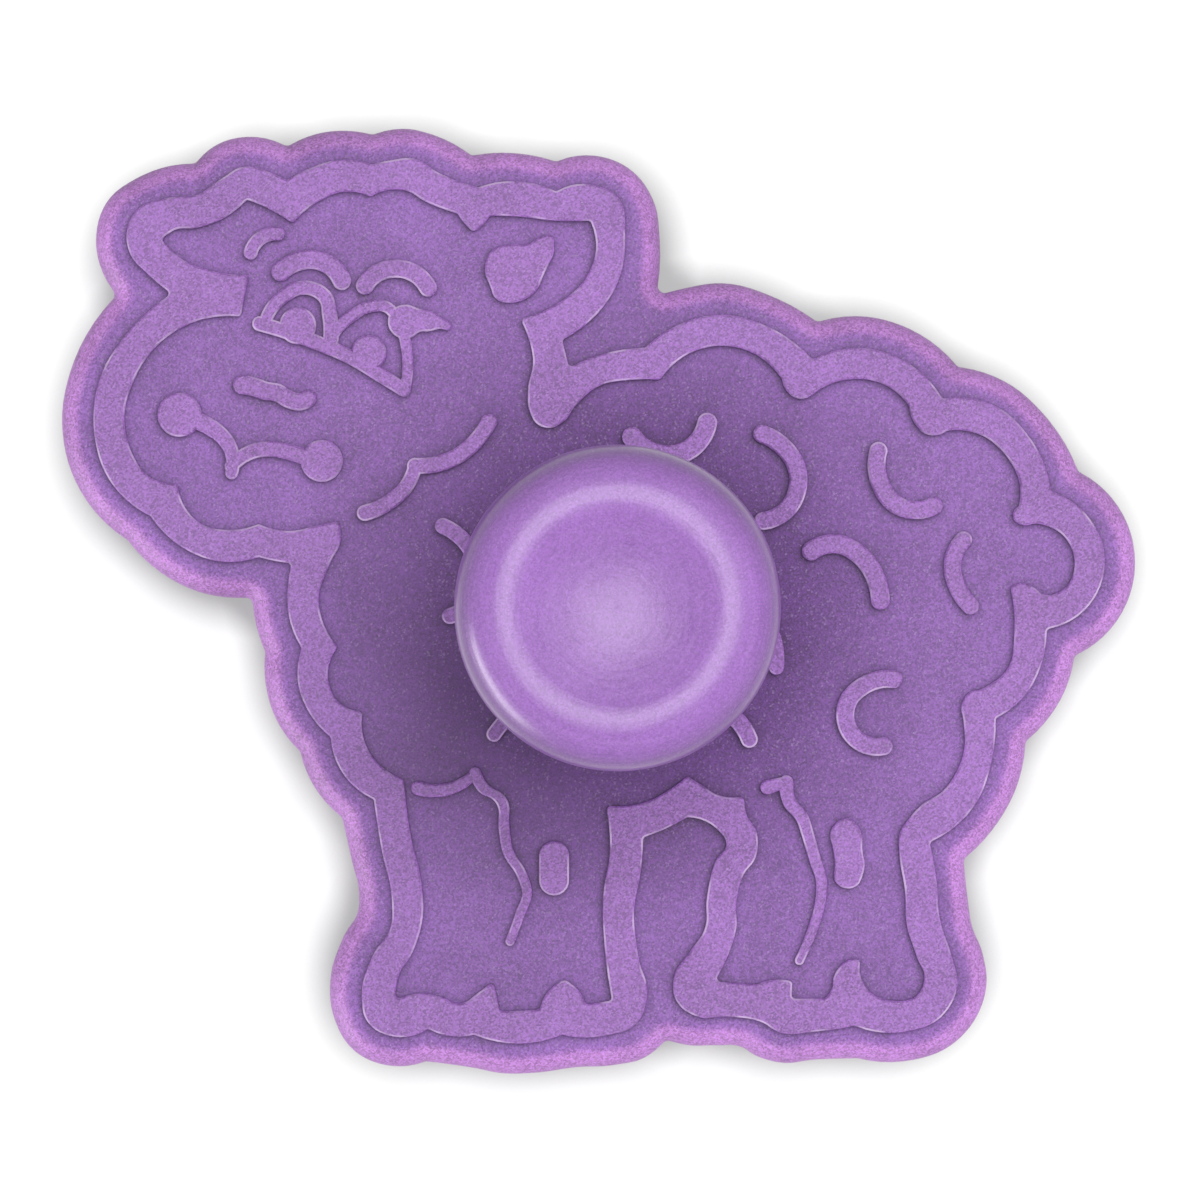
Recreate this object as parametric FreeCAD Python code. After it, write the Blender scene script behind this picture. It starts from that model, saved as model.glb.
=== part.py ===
import FreeCAD, Part
import math
import os

# A spring plunger cutter for rolled dough, shaped as a standing sheep that looks to the left.
# Pressing the knob slides the stamp plate down inside the skirt, where its ribs mark the dough
# and push the cut piece out. The spring lifts the plate again.
# Millimetres. The cutting edge lies on z = 0, +Z is up and +X runs from the muzzle to the tail.

Vector = FreeCAD.Vector

# The figure and the squared drawing that it is taken from
FIGURE_WIDTH = 60.0
DRAWING_SQUARES = 107.7
AXIS_SQUARES = (61.65, 59.25)

# Cutter shell
SHELL_HEIGHT = 16.0
PLATE_THICKNESS = 2.0
SKIRT_THICKNESS = 1.2
EDGE_BEVEL = 0.7
RIM_RADIUS = 1.5
VALLEY_RADIUS = 0.4

# Raised line drawing on the plate
RELIEF_HEIGHT = 0.6
RELIEF_CORNER = 0.22
RELIEF_BEVEL = 0.1

# Guide sleeve on the plate
SLEEVE_HEIGHT = 10.0
SLEEVE_WALL = 1.5
SLEEVE_FOOT_ROUND = 0.8
GUIDE_LENGTH = 6.0

# Stamp plate
STAMP_THICKNESS = 2.0
STAMP_RIB_HEIGHT = 1.2
SOCKET_FLOOR = 0.5

# Stem, with a stop ring at its foot and a thinner spigot at each end
STOP_RING_RADIUS = 5.5
STOP_RING_HEIGHT = 0.5
STEM_RADIUS = 2.9
SPIGOT_RADIUS = 2.1
SPIGOT_LENGTH = 3.4
PLUNGER_TRAVEL = 9.5

# Knob
KNOB_RADIUS = 8.65
KNOB_TOP_RADIUS = 8.4
KNOB_HEIGHT = 8.0
KNOB_SHOULDER_ROUND = 2.5
KNOB_RIM_ROUND = 0.5
KNOB_CREST_WIDTH = 0.5
DISH_DEPTH = 1.1
DISH_EDGE_ROUND = 1.6
KNOB_RECESS_DEPTH = 2.2

# Return spring
WIRE_DIAMETER = 0.8
SPRING_RADIUS = 4.2
SPRING_TURNS = 7
SPRING_PITCH_SWELL = 1.2

# Clearances
STAMP_CLEARANCE = 0.35
RUNNING_CLEARANCE = 0.08
SPIGOT_CLEARANCE = 0.02
SPIGOT_END_GAP = 0.3
SPRING_CLEARANCE = 0.3
SPRING_SEAT_GAP = 0.05
KNOB_STOP_GAP = 0.3

SQUARE = FIGURE_WIDTH / DRAWING_SQUARES

# Outlines on the drawing, in squares from its lower left corner. An outline is a ring of runs.
# A run starts where the one before it ends, is smooth inside, and meets its neighbours in a corner.
LIP = [
    [(9.8, 93.6), (9.4, 96.0), (10.4, 99.8), (14.0, 102.6), (19.4, 103.8)],
    [(21.2, 105.5), (24.7, 106.5), (28.6, 105.5)],
    [(31.6, 106.8), (34.5, 107.1), (37.2, 106.7)],
    [(40.2, 107.3), (43.5, 106.6), (47.1, 104.6)],
    [(50.3, 104.9), (55.6, 104.0)],
    [(59.5, 104.6), (63.3, 103.0), (65.3, 100.2), (66.0, 96.0), (65.6, 90.5)],
    [(68.1, 91.2), (72.2, 91.8), (77.9, 90.2), (81.8, 87.9)],
    [(85.7, 88.5), (91.1, 87.2), (95.9, 83.4)],
    [(100.5, 82.0), (105.0, 78.1), (108.0, 72.9)],
    [(113.7, 63.7), (107.6, 54.4)],
    [(107.0, 51.8), (105.2, 48.4), (102.7, 45.8)],
    [(102.0, 41.8), (100.0, 37.8), (96.5, 34.0)],
    [(96.9, 30.0), (97.3, 27.4), (98.4, 24.5), (98.8, 21.7), (97.8, 18.2), (95.2, 15.3),
     (90.5, 13.7), (85.9, 14.0)],
    [(82.0, 13.9), (77.9, 13.6), (75.8, 14.2), (74.0, 15.2), (71.4, 15.3), (69.0, 15.3), (66.6, 15.9)],
    [(64.5, 14.1), (61.2, 13.3), (57.5, 13.1), (54.0, 12.6), (50.3, 12.5), (47.0, 13.1), (42.5, 13.7)],
    [(38.6, 13.3), (35.4, 14.7), (33.2, 18.4), (33.0, 22.5), (34.3, 26.3), (35.7, 28.8), (35.8, 30.5),
     (35.0, 34.2), (34.1, 38.2)],
    [(31.9, 40.4), (29.9, 44.8)],
    [(28.0, 47.1), (26.6, 50.6), (26.4, 54.8)],
    [(25.5, 57.4), (25.1, 60.3)],
    [(20.5, 60.6), (16.0, 62.7), (12.6, 66.0)],
    [(7.3, 72.0), (6.0, 77.6), (7.2, 84.0), (11.5, 90.6)],
]

BAND_OUTSIDE = [
    [(15.0, 92.4), (13.1, 94.5), (12.7, 96.5), (13.8, 99.0), (16.5, 100.1), (19.8, 100.5), (21.9, 101.9),
     (24.6, 103.3), (26.8, 102.8), (28.7, 101.9)],
    [(30.5, 102.9), (34.5, 104.0), (37.2, 103.5)],
    [(39.0, 103.9), (41.4, 104.1), (44.0, 102.6), (47.8, 101.2)],
    [(50.3, 101.8), (55.6, 100.8)],
    [(59.6, 101.4), (61.8, 100.2), (62.5, 96.5), (61.7, 91.6), (59.8, 88.7), (56.2, 86.0)],
    [(56.9, 83.2)],
    [(60.0, 84.5), (64.5, 85.2)],
    [(67.2, 87.2), (72.2, 88.5), (76.8, 87.3), (81.2, 84.0)],
    [(85.7, 85.2), (90.7, 83.7), (94.2, 80.1)],
    [(99.0, 79.6), (103.2, 75.8), (105.0, 70.9)],
    [(108.5, 68.6), (110.4, 64.2), (108.3, 58.9), (104.6, 57.1)],
    [(104.2, 54.0), (102.2, 50.2), (99.5, 48.2)],
    [(99.3, 45.0), (97.2, 39.2), (92.9, 35.8)],
    [(93.6, 32.0), (93.9, 28.3), (95.2, 24.1), (95.7, 22.0), (94.1, 18.4), (90.5, 16.9), (85.4, 17.5)],
    [(81.5, 16.9), (78.0, 16.8), (76.0, 17.9), (72.5, 18.4), (69.7, 18.4), (67.6, 20.0), (67.4, 22.4),
     (69.0, 24.9), (70.4, 27.0), (70.7, 30.5), (71.5, 33.8), (72.6, 35.8), (71.6, 37.2), (68.7, 38.3)],
    [(66.4, 37.1), (64.3, 36.3)],
    [(64.1, 33.2), (63.4, 29.0), (63.8, 24.5), (64.7, 20.5), (63.7, 17.8), (60.5, 16.5), (56.2, 16.6)],
    [(52.0, 15.7), (47.4, 16.6)],
    [(45.9, 16.4), (42.8, 17.2)],
    [(39.4, 16.4), (36.9, 17.7), (36.2, 20.8), (37.2, 24.3), (39.1, 27.4), (39.2, 30.1), (38.1, 35.5),
     (37.4, 40.1)],
    [(34.5, 42.4), (33.1, 46.3)],
    [(30.8, 49.0), (29.8, 52.0), (30.2, 55.2)],
    [(28.9, 58.5), (28.8, 61.0), (29.2, 63.7)],
    [(27.5, 63.9), (25.9, 64.3)],
    [(22.5, 63.8), (18.2, 65.3), (15.1, 68.4)],
    [(11.4, 71.4), (9.4, 77.5), (10.3, 82.8), (12.8, 86.7), (17.2, 90.6)],
]

BAND_INSIDE = [
    [(17.2, 96.8), (20.2, 97.3), (23.3, 98.7), (24.7, 100.0)],
    [(26.7, 99.2), (29.3, 97.6)],
    [(31.8, 99.8), (34.5, 100.8), (37.1, 100.3)],
    [(40.2, 101.0), (43.0, 99.6), (45.8, 98.6)],
    [(46.5, 97.6), (47.5, 96.9), (48.1, 97.3), (49.0, 98.4)],
    [(52.1, 98.3), (55.5, 97.9), (59.0, 97.9)],
    [(59.6, 95.6), (58.6, 92.2), (55.9, 89.7), (52.0, 88.1)],
    [(53.0, 85.7), (53.3, 84.1), (52.8, 80.8), (52.9, 79.1), (54.0, 77.4), (55.1, 77.2), (56.3, 77.8),
     (57.7, 79.6), (59.9, 81.4), (63.0, 82.0), (66.0, 82.0)],
    [(68.3, 84.3), (72.4, 85.4), (75.8, 84.4), (78.2, 82.0)],
    [(78.8, 80.7), (80.0, 80.1), (81.3, 80.6)],
    [(85.5, 82.1), (89.0, 81.2), (90.9, 79.3)],
    [(91.4, 77.7), (92.8, 76.5), (94.6, 76.9)],
    [(97.5, 76.7), (100.5, 74.5), (102.0, 71.0), (101.8, 69.3)],
    [(101.3, 68.1), (101.9, 67.6), (104.0, 67.6), (106.2, 66.5), (107.4, 63.9), (106.3, 61.1),
     (104.6, 60.5), (103.0, 61.4), (101.9, 61.7), (101.0, 61.2)],
    [(101.4, 57.0), (100.6, 53.0), (98.5, 51.3), (96.6, 50.5), (96.1, 49.4), (96.3, 48.0),
     (96.4, 45.2), (95.0, 41.8), (91.2, 38.6), (89.9, 36.5), (89.9, 34.8), (90.5, 30.5), (90.6, 27.8),
     (91.6, 24.5), (92.4, 22.2), (91.9, 20.8), (89.0, 20.0), (86.8, 21.0), (86.0, 24.0)],
    [(84.7, 24.0), (83.6, 22.9), (82.9, 20.7), (82.4, 20.2)],
    [(79.1, 20.2)],
    [(79.2, 21.9)],
    [(77.8, 22.1), (75.6, 21.6)],
    [(71.4, 21.9)],
    [(73.0, 25.1), (73.6, 27.2), (73.6, 29.7), (74.2, 32.3), (75.6, 34.5), (75.7, 36.5), (74.5, 39.0),
     (74.4, 40.4)],
    [(71.8, 40.5), (70.0, 41.6), (68.7, 42.4)],
    [(67.3, 41.3), (64.5, 39.8), (60.6, 39.5)],
    [(61.0, 35.2), (60.3, 30.3), (60.4, 26.0), (61.2, 20.0)],
    [(58.5, 19.6)],
    [(57.2, 21.6), (56.4, 22.0), (55.6, 21.6), (54.0, 19.1)],
    [(50.0, 18.9)],
    [(49.3, 22.0)],
    [(48.0, 20.9), (45.9, 19.7), (44.0, 20.4), (42.7, 20.7), (39.6, 20.0)],
    [(39.8, 22.3), (41.3, 24.9), (42.3, 28.5), (42.1, 32.0), (41.1, 36.3), (40.4, 42.1)],
    [(38.0, 43.5), (36.6, 45.5), (36.3, 48.9)],
    [(34.1, 49.6), (32.8, 52.3), (33.8, 55.3)],
    [(32.2, 58.1), (31.9, 60.5), (32.8, 63.2), (34.1, 66.4), (33.8, 67.9)],
    [(31.6, 67.4), (29.0, 66.9), (25.9, 67.6)],
    [(23.0, 67.0), (20.2, 67.6), (18.3, 69.7), (17.8, 71.6)],
    [(15.0, 72.3), (13.1, 75.0), (12.5, 78.5), (13.4, 81.9), (16.5, 86.1), (20.5, 88.1), (24.1, 88.3)],
    [(24.9, 92.5)],
    [(21.5, 92.8), (18.0, 94.2), (16.2, 96.0)],
]

# Strokes of the drawing: a centre line, then the stroke's width in squares at its start and end
FACE_STROKES = [
    ([(25.1, 94.7), (25.9, 96.0), (27.8, 96.6)], 1.4, 1.4),
    ([(28.1, 92.8), (29.5, 93.7), (31.3, 94.0), (32.7, 93.6), (34.2, 91.9)], 1.9, 1.9),
    ([(36.5, 91.4), (37.5, 92.5), (39.5, 93.1), (41.3, 92.7), (42.8, 91.2)], 1.8, 1.8),
    ([(24.3, 81.5), (25.4, 81.3), (26.6, 80.9), (27.8, 80.7), (28.8, 80.1), (30.0, 79.8), (30.8, 80.1)],
     1.9, 1.7),
    ([(36.5, 68.7), (38.8, 69.7), (40.8, 71.6), (41.5, 73.4)], 1.6, 1.4),
    ([(41.5, 73.4), (45.2, 74.1), (47.5, 75.8), (48.9, 77.8)], 1.6, 1.6),
]
EYE_STROKES = [
    ([(26.0, 87.6), (29.0, 86.7), (32.0, 85.6), (35.0, 84.3), (38.0, 82.5), (40.4, 81.0)], 1.5, 1.4),
    ([(26.6, 87.9), (28.2, 90.2), (30.6, 91.2), (32.4, 90.4), (33.0, 88.4), (33.1, 86.0)], 1.3, 1.6),
    ([(33.4, 86.6), (35.2, 88.4), (37.0, 89.3), (38.6, 89.3), (39.7, 88.2), (40.5, 86.0), (40.8, 83.6),
      (40.5, 81.1)], 1.2, 1.1),
    ([(40.5, 87.8), (42.5, 87.9), (44.7, 87.4)], 3.4, 0.9),
]
EYE_PUPILS = [((29.8, 87.4), 1.85), ((36.9, 84.7), 1.75)]
MOUTH_STROKES = [
    ([(18.6, 78.2), (21.0, 77.3), (22.4, 76.2), (23.2, 74.8), (23.2, 72.7)], 1.8, 1.3),
    ([(23.2, 73.4), (24.2, 74.3), (25.5, 74.9), (27.1, 75.1), (28.8, 74.8), (31.2, 74.0)], 1.4, 1.6),
]
MOUTH_ENDS = [((18.0, 78.5), 2.2), ((32.2, 73.9), 2.1)]
WOOL_STROKES = [
    ([(63.2, 76.3), (66.0, 74.5), (69.0, 75.1), (70.7, 77.7)], 2.0, 2.0),
    ([(76.2, 76.6), (78.5, 75.1), (79.7, 73.0), (79.7, 71.0), (78.8, 69.2), (76.3, 67.9)], 1.8, 1.8),
    ([(87.8, 74.9), (87.6, 73.5), (88.0, 71.6), (89.2, 69.8), (91.1, 69.0), (93.3, 69.4)], 1.8, 1.8),
    ([(81.1, 64.9), (83.7, 65.6), (85.8, 64.6), (87.4, 62.5), (88.0, 60.0)], 1.9, 1.9),
    ([(96.3, 66.0), (95.4, 64.6), (95.2, 63.1), (95.6, 61.5), (97.0, 59.4)], 1.7, 1.7),
    ([(89.3, 52.1), (86.6, 51.6), (84.6, 49.4), (85.2, 46.5), (88.3, 45.4)], 1.8, 1.8),
    ([(44.3, 67.4), (47.3, 64.6), (47.9, 62.0), (47.0, 59.7), (45.0, 58.4)], 1.6, 1.6),
    ([(49.4, 46.6), (50.8, 48.3), (51.9, 49.3)], 1.5, 1.5),
    ([(74.9, 46.1), (73.5, 48.2), (72.0, 49.2)], 1.7, 1.7),
    ([(75.4, 59.0), (77.0, 57.0), (77.6, 55.0), (77.6, 53.3)], 1.5, 1.5),
]
LEG_STROKES = [
    ([(55.4, 34.4), (55.4, 32.0)], 3.0, 3.0),
    ([(41.8, 41.2), (44.2, 41.0), (45.9, 41.5), (47.5, 42.7)], 1.4, 1.0),
    ([(47.5, 42.7), (48.1, 41.5), (50.2, 39.8), (50.4, 37.3), (50.8, 34.9), (52.2, 32.5), (52.7, 30.8),
      (52.0, 28.6), (51.0, 25.9)], 1.2, 0.9),
    ([(76.7, 41.3), (78.6, 41.8)], 1.4, 1.2),
    ([(78.6, 41.8), (78.9, 39.9), (80.2, 38.2), (80.8, 36.4), (81.5, 34.0), (82.1, 32.0), (82.0, 29.9),
      (81.3, 27.3), (79.9, 24.0)], 1.4, 0.9),
]
# Closed smooth patches of the drawing: the hollow of the ear and the hind knee
PATCHES = [
    [(48.5, 92.9), (49.2, 94.9), (51.0, 95.5), (52.7, 95.5), (54.0, 96.2), (55.2, 96.3), (55.4, 95.3),
     (54.5, 92.8), (53.3, 90.6), (51.2, 89.7), (49.6, 90.1), (49.0, 91.4)],
    [(83.3, 37.4), (84.4, 38.2), (86.0, 37.0), (86.2, 35.0), (86.4, 33.3), (85.0, 31.2), (84.0, 31.4),
     (83.4, 34.4)],
]

# Directions closer than this angle count as one, and points closer than this distance touch
SAME_DIRECTION = 1e-6
TOUCH = 1e-5

# The most of an edge that the round of one of its corners may take up
LONGEST_ROUND_SHARE = 0.45

# How finely the spring's wire is drawn and its gaps are measured
CURVES_PER_TURN = 4
SAMPLES_PER_TURN = 48


def unit(vector):
    return Vector(vector).normalize()


def angle_between(first, second):
    """Signed angle in the plan view, from the first direction to the second."""
    return math.atan2(first.x * second.y - first.y * second.x, first.x * second.x + first.y * second.y)


def mirrored(direction, chord):
    along = unit(chord)
    return along * (2 * along.dot(direction)) - direction


def circle_direction(before, here, after):
    """Direction, at the middle one, of the circle through three points."""
    back = here - before
    ahead = after - here
    return unit(back * (1 / back.dot(back)) + ahead * (1 / ahead.dot(ahead)))


def plan_arc(start, end, rise_angle):
    """Edge that leaves its chord by an angle: an arc, or a line where the angle is nothing."""
    if abs(rise_angle) < SAME_DIRECTION:
        return Part.LineSegment(start, end).toShape()
    chord = end - start
    middle = (start + end) * 0.5 + Vector(-chord.y, chord.x, 0) * (0.5 * math.tan(rise_angle / 2))
    return Part.Arc(start, middle, end).toShape()


def biarc_joint(start, leaving, end, arriving):
    """Point where two arcs meet that join two points along given directions."""
    chord = end - start
    spread = 2 * (1 - leaving.dot(arriving))
    along = chord.dot(leaving + arriving)
    if spread < SAME_DIRECTION:
        reach = chord.dot(chord) / (2 * along)
    else:
        reach = (math.sqrt(along * along + spread * chord.dot(chord)) - along) / spread
    return (start + end + (leaving - arriving) * reach) * 0.5


def plan_curve(start, leaving, end, arriving):
    """One arc, or two that meet smoothly, between two points of the plan view."""
    chord = end - start
    rise = angle_between(chord, leaving)
    fall = angle_between(chord, arriving)
    if abs(rise + fall) < SAME_DIRECTION:
        return [plan_arc(start, end, rise)]
    joint = biarc_joint(start, leaving, end, arriving)
    first = plan_arc(start, joint, angle_between(joint - start, leaving))
    second = plan_arc(joint, end, -angle_between(end - joint, arriving))
    return [first, second]


def curve_through(points, directions):
    edges = []
    for i in range(len(points) - 1):
        edges += plan_curve(points[i], directions[i], points[i + 1], directions[i + 1])
    return edges


def run_directions(points):
    """Directions of a smooth open run at its points."""
    if len(points) == 2:
        return [unit(points[1] - points[0])] * 2
    inner = [circle_direction(*points[i - 1:i + 2]) for i in range(1, len(points) - 1)]
    first = mirrored(inner[0], points[1] - points[0])
    last = mirrored(inner[-1], points[-1] - points[-2])
    return [first] + inner + [last]


def drawn(squares):
    """Points of the drawing at their real size."""
    return [Vector(u * SQUARE, v * SQUARE, 0) for u, v in squares]


def face_inside(edges):
    """Face inside a closed ring of edges, turned upwards."""
    face = Part.Face(Part.Wire(edges))
    if face.normalAt(0, 0).z < 0:
        face.reverse()
    return face


def shortened(edge, from_start, from_end):
    """A plan arc or line with a length taken off at its start and at its end."""
    first = edge.getParameterByLength(from_start)
    last = edge.getParameterByLength(edge.Length - from_end)
    start, middle, end = [edge.valueAt(t) for t in (first, (first + last) / 2, last)]
    if edge.Curve.TypeId == "Part::GeomLine":
        return Part.LineSegment(start, end).toShape()
    return Part.Arc(start, middle, end).toShape()


def corner_reach(edge, following, radius):
    """How far a round of about this radius reaches along the two edges of a corner."""
    arriving = edge.tangentAt(edge.LastParameter)
    leaving = following.tangentAt(following.FirstParameter)
    turn = abs(angle_between(arriving, leaving))
    longest = LONGEST_ROUND_SHARE * min(edge.Length, following.Length)
    return min(radius * math.tan(turn / 2), longest)


def outline_face(runs, corner_radius):
    """Face inside a ring of runs, rounded where the runs meet."""
    sides = []
    start = runs[-1][-1]
    for run in runs:
        points = drawn([start] + run)
        sides.append(curve_through(points, run_directions(points)))
        start = run[-1]
    reaches = []
    for i, side in enumerate(sides):
        reaches.append(corner_reach(sides[i - 1][-1], side[0], corner_radius))
    edges = []
    for i, side in enumerate(sides):
        ahead = reaches[(i + 1) % len(sides)]
        if len(side) == 1:
            side = [shortened(side[0], reaches[i], ahead)]
        else:
            side = [shortened(side[0], reaches[i], 0)] + side[1:-1] + [shortened(side[-1], 0, ahead)]
        sides[i] = side
    for i, side in enumerate(sides):
        before = sides[i - 1][-1]
        arriving = before.tangentAt(before.LastParameter)
        leaving = side[0].tangentAt(side[0].FirstParameter)
        corner_start = before.valueAt(before.LastParameter)
        corner_end = side[0].valueAt(side[0].FirstParameter)
        edges += plan_curve(corner_start, arriving, corner_end, leaving) + side
    return face_inside(edges)


def stroke_face(squares, first_width, last_width):
    """Face of a line with round ends, whose width changes evenly from start to end."""
    points = drawn(squares)
    directions = run_directions(points)
    left = []
    right = []
    for i, (point, direction) in enumerate(zip(points, directions)):
        share = i / (len(points) - 1)
        half = 0.5 * SQUARE * (first_width + (last_width - first_width) * share)
        side = Vector(-direction.y, direction.x, 0) * half
        left.append(point + side)
        right.append(point - side)
    edges = curve_through(left, directions)
    last_half = 0.5 * SQUARE * last_width
    edges.append(Part.Arc(left[-1], points[-1] + directions[-1] * last_half, right[-1]).toShape())
    edges += curve_through(right[::-1], [direction * -1 for direction in directions[::-1]])
    first_half = 0.5 * SQUARE * first_width
    edges.append(Part.Arc(right[0], points[0] - directions[0] * first_half, left[0]).toShape())
    return face_inside(edges)


def disc_face(squares, radius):
    centre = drawn([squares])[0]
    return face_inside([Part.Circle(centre, Vector(0, 0, 1), radius * SQUARE).toShape()])


def patch_face(squares):
    """Face inside a smooth closed curve."""
    points = drawn(squares)
    count = len(points)
    directions = [circle_direction(points[i - 1], points[i], points[(i + 1) % count]) for i in range(count)]
    return face_inside(curve_through(points + points[:1], directions + directions[:1]))


def edges_at(shape, height):
    """Edges that lie flat at a height."""
    flat = []
    for edge in shape.Edges:
        box = edge.BoundBox
        if abs(box.ZMin - height) < TOUCH and abs(box.ZMax - height) < TOUCH:
            flat.append(edge)
    return flat


def is_circle(edge, radius):
    return edge.Curve.TypeId == "Part::GeomCircle" and abs(edge.Curve.Radius - radius) < TOUCH


def cylinder(radius, bottom, top, axis):
    return Part.makeCylinder(radius, top - bottom, Vector(axis.x, axis.y, bottom))


# Plan of the figure, moved so that the middle of its box is the origin
lip = outline_face(LIP, VALLEY_RADIUS)
lip_box = lip.BoundBox
to_origin = Vector(-lip_box.Center.x, -lip_box.Center.y, 0)
lip.translate(to_origin)
axis = drawn([AXIS_SQUARES])[0] + to_origin

band = outline_face(BAND_OUTSIDE, RELIEF_CORNER).cut(outline_face(BAND_INSIDE, RELIEF_CORNER)).Faces[0]
drawing = [band]
strokes = FACE_STROKES + EYE_STROKES + MOUTH_STROKES + WOOL_STROKES + LEG_STROKES
drawing += [stroke_face(*stroke) for stroke in strokes]
drawing += [disc_face(*disc) for disc in EYE_PUPILS + MOUTH_ENDS]
drawing += [patch_face(patch) for patch in PATCHES]
for face in drawing:
    face.translate(to_origin)

# Heights, from the cutting edge up, and radii from the axis
plate_underside = SHELL_HEIGHT - PLATE_THICKNESS
sleeve_top = SHELL_HEIGHT + SLEEVE_HEIGHT
pocket_floor = plate_underside + GUIDE_LENGTH
stamp_top = plate_underside - STOP_RING_HEIGHT
stamp_underside = stamp_top - STAMP_THICKNESS
stamp_socket_floor = stamp_underside + SOCKET_FLOOR
knob_bottom = sleeve_top + PLUNGER_TRAVEL + KNOB_STOP_GAP
knob_top = knob_bottom + KNOB_HEIGHT
knob_seat = knob_bottom + KNOB_RECESS_DEPTH
spring_pocket_radius = SPRING_RADIUS + WIRE_DIAMETER / 2 + SPRING_CLEARANCE
sleeve_radius = spring_pocket_radius + SLEEVE_WALL
dish_radius = KNOB_TOP_RADIUS - KNOB_SHOULDER_ROUND - KNOB_CREST_WIDTH


def plan_middle(edge):
    """Plan position of an edge's middle."""
    middle = edge.valueAt((edge.FirstParameter + edge.LastParameter) / 2)
    return Vector(middle.x, middle.y, 0)


def edges_above(shape, height, wire):
    """Edges at a height that stand straight above the edges of a plan wire."""
    below = [plan_middle(edge) for edge in wire.Edges]
    above = []
    for edge in edges_at(shape, height):
        middle = plan_middle(edge)
        if min(middle.distanceToPoint(point) for point in below) < TOUCH:
            above.append(edge)
    return above


def raised_line(face):
    """One piece of the raised drawing, rooted in the plate, with its upper edges bevelled."""
    root = SHELL_HEIGHT - PLATE_THICKNESS / 2
    height = SHELL_HEIGHT + RELIEF_HEIGHT - root
    rise = Vector(0, 0, height)
    line = Part.Face(face.OuterWire).extrude(rise)
    line = line.makeChamfer(RELIEF_BEVEL, edges_at(line, height))
    for hole in face.Wires:
        if hole.isSame(face.OuterWire):
            continue
        line = line.cut(Part.Face(hole).extrude(rise))
        line = line.makeChamfer(RELIEF_BEVEL, edges_above(line, height, hole))
    line.translate(Vector(0, 0, root))
    return line


def cutter_shell():
    """Top plate with its raised drawing, skirt with the cutting edge, and guide sleeve: one moulding."""
    shell = lip.extrude(Vector(0, 0, SHELL_HEIGHT))
    shell = shell.makeFillet(RIM_RADIUS, edges_at(shell, SHELL_HEIGHT))
    shell = shell.makeChamfer(EDGE_BEVEL, edges_at(shell, 0))
    shell = shell.cut(lip.makeOffset2D(-SKIRT_THICKNESS).extrude(Vector(0, 0, plate_underside)))
    shell = shell.fuse(cylinder(sleeve_radius, plate_underside, sleeve_top, axis))
    foot = [e for e in edges_at(shell, SHELL_HEIGHT) if is_circle(e, sleeve_radius)]
    shell = shell.makeFillet(SLEEVE_FOOT_ROUND, foot)
    shell = shell.fuse([raised_line(face) for face in drawing])
    shell = shell.cut(cylinder(STEM_RADIUS + RUNNING_CLEARANCE, plate_underside, sleeve_top, axis))
    return shell.cut(cylinder(spring_pocket_radius, pocket_floor, sleeve_top, axis))


def stamp_plate():
    """Plate that fits inside the skirt, with ribs below and a socket for the stem's lower spigot."""
    plan = lip.makeOffset2D(-SKIRT_THICKNESS - STAMP_CLEARANCE)
    plate = plan.extrude(Vector(0, 0, STAMP_THICKNESS))
    ribs = []
    for face in [band.common(plan)] + drawing[1:]:
        rib = face.extrude(Vector(0, 0, STAMP_RIB_HEIGHT + STAMP_THICKNESS / 2))
        rib.translate(Vector(0, 0, -STAMP_RIB_HEIGHT))
        ribs.append(rib)
    plate = plate.fuse(ribs)
    plate.translate(Vector(0, 0, stamp_underside))
    plate = plate.cut(cylinder(SPIGOT_RADIUS + SPIGOT_CLEARANCE, stamp_socket_floor, stamp_top, axis))
    return plate.removeSplitter()


def plunger_stem():
    """Round rod that slides in the sleeve, with the ring that stops it under the plate."""
    ring = cylinder(STOP_RING_RADIUS, stamp_top, plate_underside, axis)
    rod = cylinder(STEM_RADIUS, stamp_top, knob_seat, axis)
    lower_spigot = cylinder(SPIGOT_RADIUS, stamp_socket_floor + SPIGOT_END_GAP, stamp_top, axis)
    upper_spigot = cylinder(SPIGOT_RADIUS, knob_seat, knob_seat + SPIGOT_LENGTH, axis)
    return ring.fuse([rod, lower_spigot, upper_spigot]).removeSplitter()


def plunger_knob():
    """Tapered button with a finger dish, a recess for the spring and a socket for the stem's spigot."""
    knob = Part.makeCone(KNOB_RADIUS, KNOB_TOP_RADIUS, KNOB_HEIGHT, Vector(axis.x, axis.y, knob_bottom))
    knob = knob.makeFillet(KNOB_SHOULDER_ROUND, edges_at(knob, knob_top))
    knob = knob.makeFillet(KNOB_RIM_ROUND, edges_at(knob, knob_bottom))
    ball_radius = (dish_radius ** 2 + DISH_DEPTH ** 2) / (2 * DISH_DEPTH)
    ball = Part.makeSphere(ball_radius, Vector(axis.x, axis.y, knob_top + ball_radius - DISH_DEPTH))
    knob = knob.cut(ball)
    dish_edge = [e for e in edges_at(knob, knob_top) if is_circle(e, dish_radius)]
    knob = knob.makeFillet(DISH_EDGE_ROUND, dish_edge)
    knob = knob.cut(cylinder(spring_pocket_radius, knob_bottom, knob_seat, axis))
    socket_top = knob_seat + SPIGOT_LENGTH + SPIGOT_END_GAP
    return knob.cut(cylinder(SPIGOT_RADIUS + SPIGOT_CLEARANCE, knob_seat, socket_top, axis))


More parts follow.
